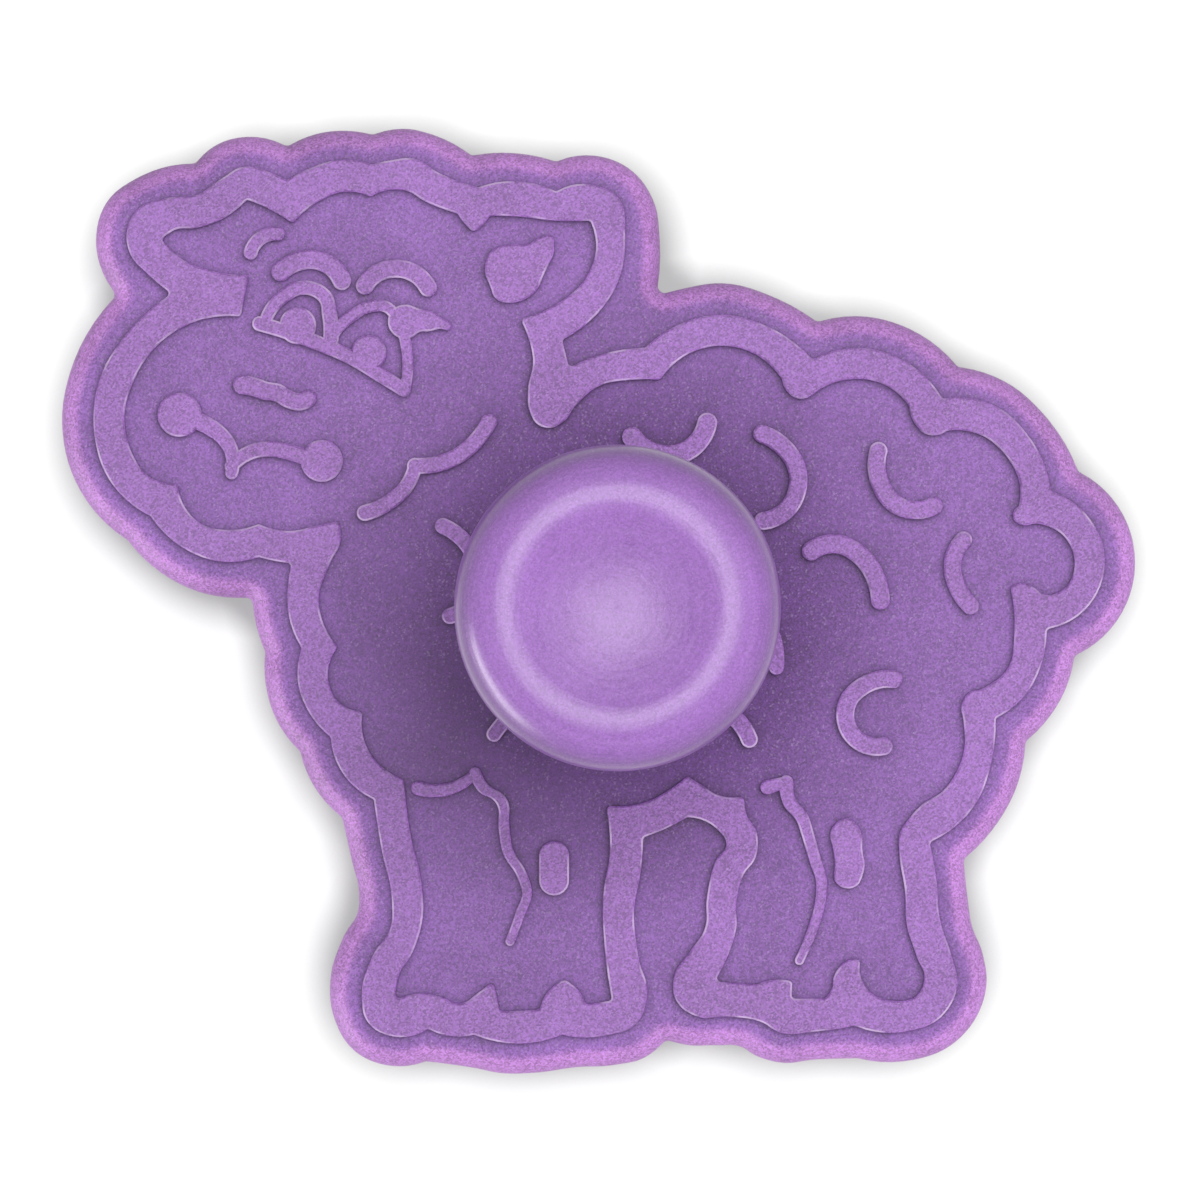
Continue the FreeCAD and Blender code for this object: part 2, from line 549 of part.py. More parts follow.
def spring_point(turns, bottom, length):
    """Point of the wire's centre line. The pitch is close at both ends and opens in the middle."""
    angle = 2 * math.pi * turns
    swell = SPRING_PITCH_SWELL * SPRING_TURNS / (2 * math.pi)
    height = length * turns / SPRING_TURNS - swell * math.sin(2 * math.pi * turns / SPRING_TURNS)
    return Vector(SPRING_RADIUS * math.cos(angle), SPRING_RADIUS * math.sin(angle), bottom + height)


def spring_direction(turns, length):
    angle = 2 * math.pi * turns
    around = 2 * math.pi * SPRING_RADIUS
    pitch = length / SPRING_TURNS - SPRING_PITCH_SWELL * math.cos(2 * math.pi * turns / SPRING_TURNS)
    return unit(Vector(-math.sin(angle) * around, math.cos(angle) * around, pitch))


def space_arc(start, leaving, end):
    """Arc in space that leaves its start along a direction."""
    chord = end - start
    half = chord.Length / 2
    rise_angle = math.acos(min(1.0, unit(chord).dot(leaving)))
    outward = unit(leaving - unit(chord) * unit(chord).dot(leaving))
    middle = (start + end) * 0.5 + outward * (half * math.tan(rise_angle / 2))
    return Part.Arc(start, middle, end).toShape()


def return_spring():
    """Compression spring: one wire whose ends run straight for a wire's width."""
    low = pocket_floor + SPRING_SEAT_GAP + WIRE_DIAMETER / 2
    length = knob_seat - SPRING_SEAT_GAP - WIRE_DIAMETER / 2 - low
    steps = SPRING_TURNS * CURVES_PER_TURN
    points = [spring_point(i / CURVES_PER_TURN, low, length) for i in range(steps + 1)]
    ways = [spring_direction(i / CURVES_PER_TURN, length) for i in range(steps + 1)]
    lead_in = points[0] - ways[0] * WIRE_DIAMETER
    lead_out = points[-1] + ways[-1] * WIRE_DIAMETER
    edges = [Part.LineSegment(lead_in, points[0]).toShape()]
    for i in range(steps):
        joint = biarc_joint(points[i], ways[i], points[i + 1], ways[i + 1])
        edges.append(space_arc(points[i], ways[i], joint))
        edges.append(space_arc(points[i + 1], ways[i + 1] * -1, joint))
    edges.append(Part.LineSegment(points[-1], lead_out).toShape())
    section = Part.Wire(Part.Circle(lead_in, ways[0], WIRE_DIAMETER / 2).toShape())
    spring = Part.Wire(edges).makePipeShell([section], True, False)
    spring.translate(Vector(axis.x, axis.y, 0))
    report_spring_gap(low, length)
    return spring


def report_spring_gap(low, length):
    count = SPRING_TURNS * SAMPLES_PER_TURN
    line = [spring_point(i / SAMPLES_PER_TURN, low, length) for i in range(count + 1)]
    far = SAMPLES_PER_TURN // 2
    distances = []
    for i, point in enumerate(line):
        distances += [point.distanceToPoint(other) for other in line[i + far:]]
    print("spring: least gap between turns %.2f mm" % (min(distances) - WIRE_DIAMETER))


os.makedirs("parts", exist_ok=True)
pieces = {
    "cutter_shell": cutter_shell,
    "stamp_plate": stamp_plate,
    "plunger_stem": plunger_stem,
    "plunger_knob": plunger_knob,
    "return_spring": return_spring,
}
for name, make in pieces.items():
    shape = make()
    box = shape.BoundBox
    sound = shape.isValid()
    print("%s: %d solid, valid %s, %.1f mm3" % (name, len(shape.Solids), sound, shape.Volume))
    print("    z from %.2f to %.2f" % (box.ZMin, box.ZMax))
    shape.exportStep("parts/%s.step" % name)
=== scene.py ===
# %% [markdown]
# # A spring plunger cutter
#
# The object is a small cutter for rolled dough, moulded in violet plastic. Its plate shows a sheep in
# raised lines, and a round knob in the middle pushes a stamp plate out of the skirt below. The solids come
# ready made in one frame, in metres, with the cutting edge on z = 0. This lesson gives them their finish,
# winds a finer spring, and sets up the light and the camera.
#
# We load the frame first, because every later step measures it instead of repeating its numbers.

# %% Load the frame
import math

import bmesh
import bpy
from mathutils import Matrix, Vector


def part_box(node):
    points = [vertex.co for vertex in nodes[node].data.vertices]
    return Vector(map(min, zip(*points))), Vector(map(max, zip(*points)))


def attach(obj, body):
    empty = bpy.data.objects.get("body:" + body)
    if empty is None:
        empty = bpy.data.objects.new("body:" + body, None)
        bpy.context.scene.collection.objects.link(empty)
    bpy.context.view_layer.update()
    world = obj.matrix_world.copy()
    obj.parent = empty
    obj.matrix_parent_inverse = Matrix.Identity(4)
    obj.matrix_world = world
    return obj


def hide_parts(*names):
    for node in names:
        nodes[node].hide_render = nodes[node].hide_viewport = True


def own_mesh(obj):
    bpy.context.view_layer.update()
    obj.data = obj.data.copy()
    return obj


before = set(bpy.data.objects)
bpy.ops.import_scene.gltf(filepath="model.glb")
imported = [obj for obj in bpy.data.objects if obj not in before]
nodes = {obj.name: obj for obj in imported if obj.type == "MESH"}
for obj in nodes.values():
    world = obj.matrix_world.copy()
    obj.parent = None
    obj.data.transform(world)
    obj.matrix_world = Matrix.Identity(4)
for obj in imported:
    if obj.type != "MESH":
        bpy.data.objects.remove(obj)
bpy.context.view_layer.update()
print("pieces from the frame:", sorted(nodes))

# %% [markdown]
# ## Where things are
#
# The finishes below change from place to place: the raised lines are paler than the plate, the lip is the
# palest with a painted glow, and the plate is darkened with painted shade around the knob. So we need to
# know how high the plate lies and where the knob's axis is. The boxes of the pieces give both. The shell's
# box ends at the top of its sleeve, so the sleeve's height is written here once.

# %% Measure the pieces
MM = 0.001
SLEEVE_HEIGHT = 10 * MM

shell_low, shell_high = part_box("cutter_shell")
knob_low, knob_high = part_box("plunger_knob")
plate_top = shell_high.z - SLEEVE_HEIGHT
press_axis = (knob_low + knob_high) / 2
print("plate at %.1f mm, knob from %.1f to %.1f mm" % (plate_top / MM, knob_low.z / MM, knob_high.z / MM))

# %% [markdown]
# ## The camera
#
# The photograph looks straight down, from far enough away that the knob, which stands well above the plate,
# looks only a little larger than it is. That needs a long lens. A camera without any rotation looks down
# along -Z with +Y at the top of the picture, which is just this view. So no turning or aiming is needed, and
# only its place and its lens are set: from the width of plate that fills the picture, and from the distance.

# %% Place the camera
PICTURE_WIDTH = 66.85 * MM
CAMERA_ABOVE_PLATE = 394 * MM
PICTURE_MIDDLE = Vector((0.08 * MM, 0.07 * MM, 0))
SENSOR_WIDTH = 36.0

camera_data = bpy.data.cameras.new("camera")
camera_data.sensor_width = SENSOR_WIDTH
camera_data.lens = SENSOR_WIDTH * CAMERA_ABOVE_PLATE / PICTURE_WIDTH
camera = bpy.data.objects.new("camera", camera_data)
camera.location = PICTURE_MIDDLE + Vector((0, 0, plate_top + CAMERA_ABOVE_PLATE))
bpy.context.scene.collection.objects.link(camera)
bpy.context.scene.camera = camera
print("lens %.0f mm" % camera_data.lens)

# %% [markdown]
# ## A helper for materials
#
# A material in Blender is a small network of nodes. Drawn by hand in the shader editor, it is a few boxes
# and wires. Written out in Python, each box takes four or five lines. So this lesson uses one helper that
# adds a node, fills in its settings, and gives each input either a plain value or the output of another node.

# %% Helpers for node networks
def add_node(tree, kind, inputs=None, **settings):
    """A new node. Each input is set to a plain value or joined to another node's output."""
    node = tree.nodes.new(kind)
    for name, value in settings.items():
        setattr(node, name, value)
    for name, value in (inputs or {}).items():
        if isinstance(value, bpy.types.NodeSocket):
            tree.links.new(value, node.inputs[name])
        else:
            node.inputs[name].default_value = value
    return node


def new_material(name):
    material = bpy.data.materials.new(name)
    material.use_nodes = True
    material.node_tree.nodes.clear()
    return material


print("node helpers ready")

# %% [markdown]
# ## Masks
#
# Most steps below need a mask: a value that is 1 where something holds and 0 where it doesn't. Three small
# sums are enough for all of them. Stretching a range turns a height or an angle into a mask, the product of
# two masks holds where both do, and the larger of two masks holds where either does.

# %% Helpers for masks
def rescale(tree, value, from_low, from_high, to_low=0.0, to_high=1.0):
    """A value stretched from one range to another, and held inside it."""
    return add_node(tree, "ShaderNodeMapRange", {
        "Value": value, "From Min": from_low, "From Max": from_high,
        "To Min": to_low, "To Max": to_high}).outputs[0]


def multiply(tree, first, second):
    return add_node(tree, "ShaderNodeMath", {0: first, 1: second}, operation="MULTIPLY").outputs[0]


def larger(tree, first, second):
    return add_node(tree, "ShaderNodeMath", {0: first, 1: second}, operation="MAXIMUM").outputs[0]


print("mask helpers ready")

# %% [markdown]
# ## White that doesn't bleach
#
# The cutter stands on white and in front of white. Turning up the lamps until everything around it is white
# would bleach the plastic. Instead, the floor and the room are white only for rays that see them directly:
# from the camera, from a mirror or through glass. The Light Path node tells which rays those are. The rays
# that carry light to the plastic are none of them, so the colours stay.

# %% Mask of what is seen directly
def seen_directly(tree):
    """1 for rays from the camera, from mirrors and through glass, 0 for all others."""
    rays = add_node(tree, "ShaderNodeLightPath").outputs
    mirrors_and_glass = larger(tree, rays["Is Glossy Ray"], rays["Is Transmission Ray"])
    return larger(tree, rays["Is Camera Ray"], mirrors_and_glass)


print("mask of the white background ready")

# %% [markdown]
# ## The floor
#
# In the photograph a narrow, soft grey line runs all around the cutter and fades within two millimetres.
# The floor is one large plane. It has a dark grey of its own, on which the lamps throw the cutter's shadow,
# and a glow on top, by the mask above. The two together make white. A glow covers shadows, so it is dimmed
# in the corner under the skirt by an Ambient Occlusion node, which measures how open a point is; the dimmed
# glow is a painted contact shadow. A shadow catcher could do much the same, but needs the compositor to put
# white behind it.

# %% Make the floor
FLOOR_SIZE = 3.0
FLOOR_COLOUR = (0.2, 0.2, 0.2, 1)
FLOOR_GLOW = (0.93, 0.93, 0.93, 1)
CORNER_WIDTH = 2.6 * MM
CORNER_GLOW = 0.4
CLOSED_CORNER = 0.6
OPEN_FLOOR = 1.0

table_white = new_material("table_white")
tree = table_white.node_tree
surface = add_node(tree, "ShaderNodeBsdfDiffuse", {"Color": FLOOR_COLOUR})
openness = add_node(tree, "ShaderNodeAmbientOcclusion", {"Distance": CORNER_WIDTH}).outputs["AO"]
# Painted contact shadow: the glow is dimmed where the floor is closed in under the skirt.
fading = rescale(tree, openness, CLOSED_CORNER, OPEN_FLOOR, CORNER_GLOW, 1.0)
strength = multiply(tree, seen_directly(tree), fading)
glow = add_node(tree, "ShaderNodeEmission", {"Color": FLOOR_GLOW, "Strength": strength})
both = add_node(tree, "ShaderNodeAddShader", {0: surface.outputs[0], 1: glow.outputs[0]})
add_node(tree, "ShaderNodeOutputMaterial", {"Surface": both.outputs[0]})

bpy.ops.mesh.primitive_plane_add(size=FLOOR_SIZE)
table = bpy.context.object
table.name = "table"
table.data.materials.append(table_white)
print("floor of %.0f m" % FLOOR_SIZE)

# %% [markdown]
# ## The room
#
# Everything around the cutter is a plain pale room. The world's background gives that, without any walls. A
# room that is white for all rays would light the plastic evenly from all sides, and the raised lines would
# lose their edges. So the background is dim as a source of light, and white by the same mask as the floor:
# behind the cutter, in the steel of the spring and in the shine of the knob.

# %% Make the room
ROOM_LIGHT = 0.1
ROOM_WHITE = 1.0

world = bpy.data.worlds.new("pale_room")
bpy.context.scene.world = world
world.use_nodes = True
tree = world.node_tree
tree.nodes.clear()
level = rescale(tree, seen_directly(tree), 0.0, 1.0, ROOM_LIGHT, ROOM_WHITE)
background = add_node(tree, "ShaderNodeBackground", {"Color": (1, 1, 1, 1), "Strength": level})
add_node(tree, "ShaderNodeOutputWorld", {"Surface": background.outputs[0]})
bpy.context.scene.view_settings.view_transform = "Standard"
print("room light", ROOM_LIGHT)

# %% [markdown]
# ## The lamps
#
# The picture tells where its lamps stand. The bowl of the knob shows one soft bright patch in its middle, so
# a lamp hangs straight above. The knob's shadow falls to the lower left, so another hangs to the upper
# right. The lip is brightest on the side of the feet and the muzzle, so two low, wide lamps stand there. The
# knob's shoulder has just one bright patch, at the lower left, so the lamps on the right are kept out of the
# shine. Area lamps give such soft light. Each is turned to the cutter by a direction made into a rotation.

# %% Hang the lamps
# Name, place and size in millimetres, power in watts, and whether the lamp shows in the shine
LAMPS = [
    ("lamp_above", (-10, 30, 560), (300, 300), 1.35, True),
    ("lamp_right", (180, 130, 495), (350, 350), 1.55, False),
    ("lamp_low_left", (-480, -300, 70), (420, 110), 2.1, True),
    ("lamp_low_right", (440, -360, 70), (420, 110), 1.7, False),
]

for name, place, size, watts, shows_in_shine in LAMPS:
    lamp_data = bpy.data.lights.new(name, "AREA")
    lamp_data.shape = "RECTANGLE"
    lamp_data.size = size[0] * MM
    lamp_data.size_y = size[1] * MM
    lamp_data.energy = watts
    lamp = bpy.data.objects.new(name, lamp_data)
    lamp.location = Vector(place) * MM
    lamp.visible_glossy = shows_in_shine
    lamp.rotation_euler = (-lamp.location).to_track_quat("-Z", "Y").to_euler()
    bpy.context.scene.collection.objects.link(lamp)
    print(name, "%.2f W" % watts)

# %% [markdown]
# ## The grain of the moulding
#
# Close up, the plastic is not one colour. It looks like fine sand, as from a spark-finished mould, with slow
# cloudy changes over a few millimetres and a few pale specks, which are painted glints. A noise texture could
# give the grain, but at this size it looks like felt. A Voronoi texture cuts space into small cells and gives
# each a random colour, which is how sand looks. One channel of that colour serves as the grain, another picks
# the painted glints, and the distance to the middle of a cell is the height of a grain. A noise adds the
# clouds. Both read the object's own coordinates, in metres, so a scale of 11000 means grains of a tenth of a
# millimetre on every piece.

# %% The layers of the grain
GRAIN_SCALE = 11000
GLINT_SHARE = 0.12
CLOUD_NOISE = {"Scale": 260, "Detail": 3.0, "Roughness": 0.6}
CLOUD_RANGE = (0.35, 0.65)


def place_on_object(tree):
    """Where a point is in the frame, in metres."""
    return add_node(tree, "ShaderNodeTexCoord").outputs["Object"]


def grain_layers(tree):
    """Fine grain, clouds and painted glints, each from 0 to 1, and the height of the grains."""
    place = place_on_object(tree)
    cells = add_node(tree, "ShaderNodeTexVoronoi", {"Vector": place, "Scale": GRAIN_SCALE})
    noise = add_node(tree, "ShaderNodeTexNoise", {"Vector": place, **CLOUD_NOISE})
    chances = add_node(tree, "ShaderNodeSeparateColor", {0: cells.outputs["Color"]}).outputs
    # Painted glints: a few cells are picked to be pale spots of shine.
    glints = rescale(tree, chances[1], 1 - GLINT_SHARE, 1.0)
    clouds = rescale(tree, noise.outputs["Fac"], *CLOUD_RANGE)
    return chances[0], clouds, glints, cells.outputs["Distance"]


print("grains of %.2f mm" % (1000 / GRAIN_SCALE))

# %% [markdown]
# ## Grain on a colour
#
# The layers now go onto a colour. Adding grey to it would wash the violet out, so grain and clouds make it
# lighter and darker by a share of itself. The glints are different: they are painted glints, pale spots that
# stand for the shine of single grains, so they are mixed in as a colour of their own. One number, the
# contrast, makes both faint or strong, because the stem and the knob are smoother than the plate.

# %% Helpers for grained colours
CLOUD_SHARE = 0.2
GLINT_TONE = (0.50, 0.37, 0.62, 1)
GLINT_STRENGTH = 0.8


def mix_colours(tree, mask, under, over):
    """The first colour where the mask is 0, the second where it is 1."""
    mix = add_node(tree, "ShaderNodeMix", {"Factor": mask, 6: under, 7: over}, data_type="RGBA")
    return mix.outputs[2]


def scale_colour(tree, colour, factor):
    """A colour made lighter or darker by a factor."""
    if isinstance(colour, tuple):
        colour = colour[:3]
    return add_node(tree, "ShaderNodeVectorMath", {0: colour, "Scale": factor}, operation="SCALE").outputs[0]


def add_grain(tree, colour, contrast):
    """A colour with the grain on it, then the fine grain alone and the height of its grains."""
    fine, clouds, glints, bumps = grain_layers(tree)
    fine_share = multiply(tree, fine, 1 - CLOUD_SHARE)
    blend = add_node(tree, "ShaderNodeMath", {0: clouds, 1: CLOUD_SHARE, 2: fine_share},
                     operation="MULTIPLY_ADD").outputs[0]
    grained = scale_colour(tree, colour, rescale(tree, blend, 0.0, 1.0, 1 - contrast, 1 + contrast))
    # Painted glints are mixed in as a pale colour.
    glint_mask = multiply(tree, glints, GLINT_STRENGTH * contrast)
    return mix_colours(tree, glint_mask, grained, GLINT_TONE), fine, bumps


print("grained colours ready")

# %% [markdown]
# ## The surface of plastic
#
# All the violet pieces are the same kind of plastic, so they share their last steps. The Principled shader
# takes colour, roughness and bumps at once, where separate shaders for body and shine would have to be
# balanced by hand. The grain changes the roughness a little, and a Bump node turns the height of the grains
# into small dents. Values that don't change over the surface are typed straight into the sockets.

# %% Finish of a plastic piece
GRAIN_HEIGHT = 0.02 * MM
BUMP_STRENGTH = 0.5
PLASTIC_IOR = 1.46


def finish_plastic(material, colour, fine, bumps, roughness_range):
    """The last steps that all the plastic pieces share. Gives back the shader."""
    tree = material.node_tree
    dents = add_node(tree, "ShaderNodeBump", {
        "Strength": BUMP_STRENGTH, "Distance": GRAIN_HEIGHT, "Height": bumps})
    shader = add_node(tree, "ShaderNodeBsdfPrincipled", {
        "IOR": PLASTIC_IOR,
        "Base Color": colour,
        "Roughness": rescale(tree, fine, 0.0, 1.0, *roughness_range),
        "Normal": dents.outputs[0],
    })
    add_node(tree, "ShaderNodeOutputMaterial", {"Surface": shader.outputs[0]})
    return shader


print("plastic finish ready")

# %% [markdown]
# ## Where on a piece
#
# The shell's tones follow its shape: the lines are high, the lip is low and round, the edges of the lines
# lean, and the sleeve stands in the middle. They could be painted on by hand, but then any change of the
# shape would mean painting again. Three measures tell the places apart instead: the height above the plate,
# how far the surface faces up, and the distance from the knob's axis. The angle around the axis comes with
# the distance, for the marks on the knob.

# %% Measures of place
def height_above(tree, level):
    """Height of a point above a level, in millimetres."""
    split = add_node(tree, "ShaderNodeSeparateXYZ", {0: place_on_object(tree)}).outputs
    return add_node(tree, "ShaderNodeMath", {0: split["Z"], 1: 1 / MM, 2: -level / MM},
                    operation="MULTIPLY_ADD").outputs[0]


def upward_part(tree):
    """1 where the surface faces straight up, 0 where it stands upright."""
    facing = add_node(tree, "ShaderNodeNewGeometry").outputs["True Normal"]
    return add_node(tree, "ShaderNodeSeparateXYZ", {0: facing}).outputs["Z"]


def around_axis(tree):
    """Distance from the knob's axis in millimetres, and the angle around it."""
    axis = (press_axis.x, press_axis.y, 0)
    from_axis = add_node(tree, "ShaderNodeVectorMath", {0: place_on_object(tree), 1: axis},
                         operation="SUBTRACT").outputs[0]
    split = add_node(tree, "ShaderNodeSeparateXYZ", {0: from_axis}).outputs
    angle = add_node(tree, "ShaderNodeMath", {0: split["Y"], 1: split["X"]}, operation="ARCTAN2").outputs[0]
    flat = add_node(tree, "ShaderNodeCombineXYZ", {"X": split["X"], "Y": split["Y"]}).outputs[0]
    length = add_node(tree, "ShaderNodeVectorMath", {0: flat}, operation="LENGTH").outputs["Value"]
    return multiply(tree, length, 1 / MM), angle


print("axis at x %.1f mm, y %.1f mm" % (press_axis.x / MM, press_axis.y / MM))

# %% [markdown]
# ## Tones of the shell
#
# The shell is the large moulding: plate, lip, skirt and sleeve. Its raised lines look paler than the plate.
# The round lip is the palest: a painted glow stands for light that comes through the thin wall there, and
# the skirt below it keeps a little of that glow. Around the sleeve the plate is darkened with painted shade,
# where the knob's shadow falls. Each tone is mixed over the last by its mask, from the widest to the
# narrowest.
# Real light inside the plastic would need subsurface scattering, which is slow and hard to aim at one edge.

# %% Mix the tones of the shell
PLATE_VIOLET = (0.252, 0.116, 0.384, 1)
KNOB_SHADE_VIOLET = (0.120, 0.044, 0.195, 1)
LINE_VIOLET = (0.304, 0.142, 0.434, 1)
LIP_GLOW_VIOLET = (0.464, 0.213, 0.562, 1)
KNOB_SHADE_STARTS = 18.5
KNOB_SHADE_FULL = 9.0
LINE_HEIGHT = 0.6
LIP_STARTS = -0.02
LIP_FULL = -0.18
LIP_DEPTH = 1.5
SKIRT_GLOW_SHARE = 0.2
FACING_DOWN = -0.6
FACING_OUT = -0.3
SHELL_CONTRAST = 0.44

shell_violet = new_material("shell_violet")
tree = shell_violet.node_tree
height = height_above(tree, plate_top)
upward = upward_part(tree)
# Painted shade: the plate is darkened around the sleeve, where the knob's shadow falls.
painted_knob_shade = rescale(tree, around_axis(tree)[0], KNOB_SHADE_STARTS, KNOB_SHADE_FULL)
on_lines = rescale(tree, height, 0.5 * LINE_HEIGHT, 0.9 * LINE_HEIGHT)
below_plate = rescale(tree, height, LIP_STARTS, LIP_FULL)
not_underneath = rescale(tree, upward, FACING_DOWN, FACING_OUT)
down_the_skirt = rescale(tree, height, -LIP_DEPTH, -2.5 * LIP_DEPTH, 1.0, SKIRT_GLOW_SHARE)
# Painted glow: the lip, and a little of the skirt below it, are made paler where light would come through the
# thin plastic.
painted_lip_glow = multiply(tree, multiply(tree, below_plate, not_underneath), down_the_skirt)

colour = mix_colours(tree, painted_knob_shade, PLATE_VIOLET, KNOB_SHADE_VIOLET)
colour = mix_colours(tree, on_lines, colour, LINE_VIOLET)
colour = mix_colours(tree, painted_lip_glow, colour, LIP_GLOW_VIOLET)
colour, fine, bumps = add_grain(tree, colour, SHELL_CONTRAST)
print("plate, lines, lip and skirt toned")

# %% [markdown]
# ## Painted shade in the corners of the shell
#
# A thin dark line of painted shade runs along the foot of every raised line. A second material on the faces
# next to the lines could show it, but those faces reach across the whole plate. The Ambient Occlusion node
# measures how closed in a point is within a given reach, so it finds these corners by itself. It looks at the
# shell alone, so that the knob and the stem leave no mark on it when they move.

# %% Paint shade into the corners
CORNER_REACH = 0.6 * MM
CORNER_SHADE_TONE = 0.7
FOOT_OF_LINE = 0.55
OPEN_PLATE = 0.92

# Painted shade: the colour is darkened where the shell closes in around a point.
openness = add_node(tree, "ShaderNodeAmbientOcclusion", {"Distance": CORNER_REACH},
                    samples=6, only_local=True).outputs["AO"]
colour = scale_colour(tree, colour, rescale(tree, openness, FOOT_OF_LINE, OPEN_PLATE, CORNER_SHADE_TONE, 1.0))
print("corners deepened within %.1f mm" % (CORNER_REACH / MM))

# %% [markdown]
# ## Scuffs and painted highlights on the shell
#
# The edges of the raised lines are pale, nearly white in places: partly scuffs, partly a painted highlight
# along the edge. Each line has a narrow bevel along its upper edge, and a bevel leans halfway between up and
# sideways, so a Compare node on the upward part finds it. The height leaves out other leaning faces, such as
# the foot of the sleeve, and a slow noise picks the places. A bevel modifier could have made the edges, but
# the solids have them already.

# %% Scuff the bevels and paint their highlights
SCUFF_AND_HIGHLIGHT_TONE = (0.66, 0.50, 0.76, 1)
SCUFF_AND_HIGHLIGHT_SHARE = 0.75
SCUFF_AND_HIGHLIGHT_NOISE = {"Scale": 420, "Detail": 3.0}
SCUFF_AND_HIGHLIGHT_RANGE = (0.48, 0.62)
BEVEL_LEAN = 0.71
BEVEL_MARGIN = 0.12
SHELL_ROUGHNESS = (0.48, 0.6)


def dress(piece, material):
    """Give a piece one material in place of its plain ones."""
    piece.data.materials.clear()
    piece.data.materials.append(material)
    print(piece.name, "wears", material.name)


on_bevel = add_node(tree, "ShaderNodeMath", {0: upward, 1: BEVEL_LEAN, 2: BEVEL_MARGIN},
                    operation="COMPARE").outputs[0]
near_top = rescale(tree, height, 0.7 * LINE_HEIGHT, 0.8 * LINE_HEIGHT)
patches = add_node(tree, "ShaderNodeTexNoise", {"Vector": place_on_object(tree), **SCUFF_AND_HIGHLIGHT_NOISE})
worn_and_highlit = rescale(tree, patches.outputs["Fac"], *SCUFF_AND_HIGHLIGHT_RANGE, 0.0, SCUFF_AND_HIGHLIGHT_SHARE)
# Scuffs and painted highlight: the bevels are made pale in patches, partly wear, partly a highlight along the
# edges.
scuffed_and_highlit = multiply(tree, multiply(tree, on_bevel, near_top), worn_and_highlit)
colour = mix_colours(tree, scuffed_and_highlit, colour, SCUFF_AND_HIGHLIGHT_TONE)
finish_plastic(shell_violet, colour, fine, bumps, SHELL_ROUGHNESS)
dress(nodes["cutter_shell"], shell_violet)

# %% [markdown]
# ## The stamp plate and the stem
#
# The stamp plate hides inside the skirt and shows only from below. It comes from the same grained plastic as
# the shell, without the polish on its lines, because nothing but dough touches them. The stem is smooth,
# since it slides in the sleeve, so its grain is kept faint. One loop finishes both, as only four values
# differ.

# %% Finish the stamp plate and the stem
STEM_VIOLET = (0.31, 0.165, 0.45, 1)
STEM_ROUGHNESS = (0.35, 0.42)

for name, tone, contrast, roughness in (
        ("stamp_plate", PLATE_VIOLET, 0.3, SHELL_ROUGHNESS),
        ("plunger_stem", STEM_VIOLET, 0.1, STEM_ROUGHNESS)):
    material = new_material(name + "_violet")
    colour, fine, bumps = add_grain(material.node_tree, tone, contrast)
    finish_plastic(material, colour, fine, bumps, roughness)
    dress(nodes[name], material)

# %% [markdown]
# ## Marks around the knob
#
# The bowl of the knob has faint marks that run around it, as a turned mould leaves them. A wave texture
# makes rings, but even ones, like a target. Real marks are uneven and fade in and out. So a noise is read at
# polar coordinates, the angle around the axis and the distance from it. It changes slowly along the angle
# and quickly along the distance, which draws it out into marks.

# %% Marks that run around the knob
MARKS_PER_MM = 2.2
MARKS_PER_RADIAN = 1.2
MARK_NOISE = {"Scale": 1.0, "Detail": 3.0, "Roughness": 0.6}
MARK_RANGE = (0.3, 0.7)


def turning_marks(tree):
    """Noise that is drawn out along circles around the knob's axis, from 0 to 1."""
    distance, angle = around_axis(tree)
    polar = add_node(tree, "ShaderNodeCombineXYZ", {
        "X": multiply(tree, angle, MARKS_PER_RADIAN), "Y": multiply(tree, distance, MARKS_PER_MM)})
    noise = add_node(tree, "ShaderNodeTexNoise", {"Vector": polar.outputs[0], **MARK_NOISE})
    return rescale(tree, noise.outputs["Fac"], *MARK_RANGE)


print("turning marks %.2f mm apart" % (1 / MARKS_PER_MM))

# %% [markdown]
# ## The knob
#
# The knob is smoother and paler than the plate, with a satin shine, and its upright side is darkened with
# painted shade.
# The marks shift the colour a little, and they also serve as roughness and as bumps, so that the shine runs
# along them. The shine itself is a thin coat over the plastic, which keeps the bright patches of the lamps
# apart from the dull body. A lower roughness of the whole surface would make the body look wet.

# %% Finish the knob
KNOB_VIOLET = (0.298, 0.126, 0.450, 1)
MARK_TONE = (0.372, 0.188, 0.525, 1)
MARK_SHARE = 0.5
KNOB_SIDE_SHADE_VIOLET = (0.180, 0.068, 0.285, 1)
SIDE_SHADE_RANGE = (0.92, 0.5)
KNOB_CONTRAST = 0.2
KNOB_ROUGHNESS = (0.27, 0.36)
KNOB_SHINE = 0.35
SHINE_ROUGHNESS = 0.32

knob_violet = new_material("knob_violet")
tree = knob_violet.node_tree
marks = turning_marks(tree)
# Painted shade: the knob's upright side is darker, as it faces away from the light above.
painted_side_shade = rescale(tree, upward_part(tree), *SIDE_SHADE_RANGE)
colour = mix_colours(tree, multiply(tree, marks, MARK_SHARE), KNOB_VIOLET, MARK_TONE)
colour = mix_colours(tree, painted_side_shade, colour, KNOB_SIDE_SHADE_VIOLET)
colour = add_grain(tree, colour, KNOB_CONTRAST)[0]
shader = finish_plastic(knob_violet, colour, marks, marks, KNOB_ROUGHNESS)
shader.inputs["Coat Weight"].default_value = KNOB_SHINE
shader.inputs["Coat Roughness"].default_value = SHINE_ROUGHNESS
dress(nodes["plunger_knob"], knob_violet)

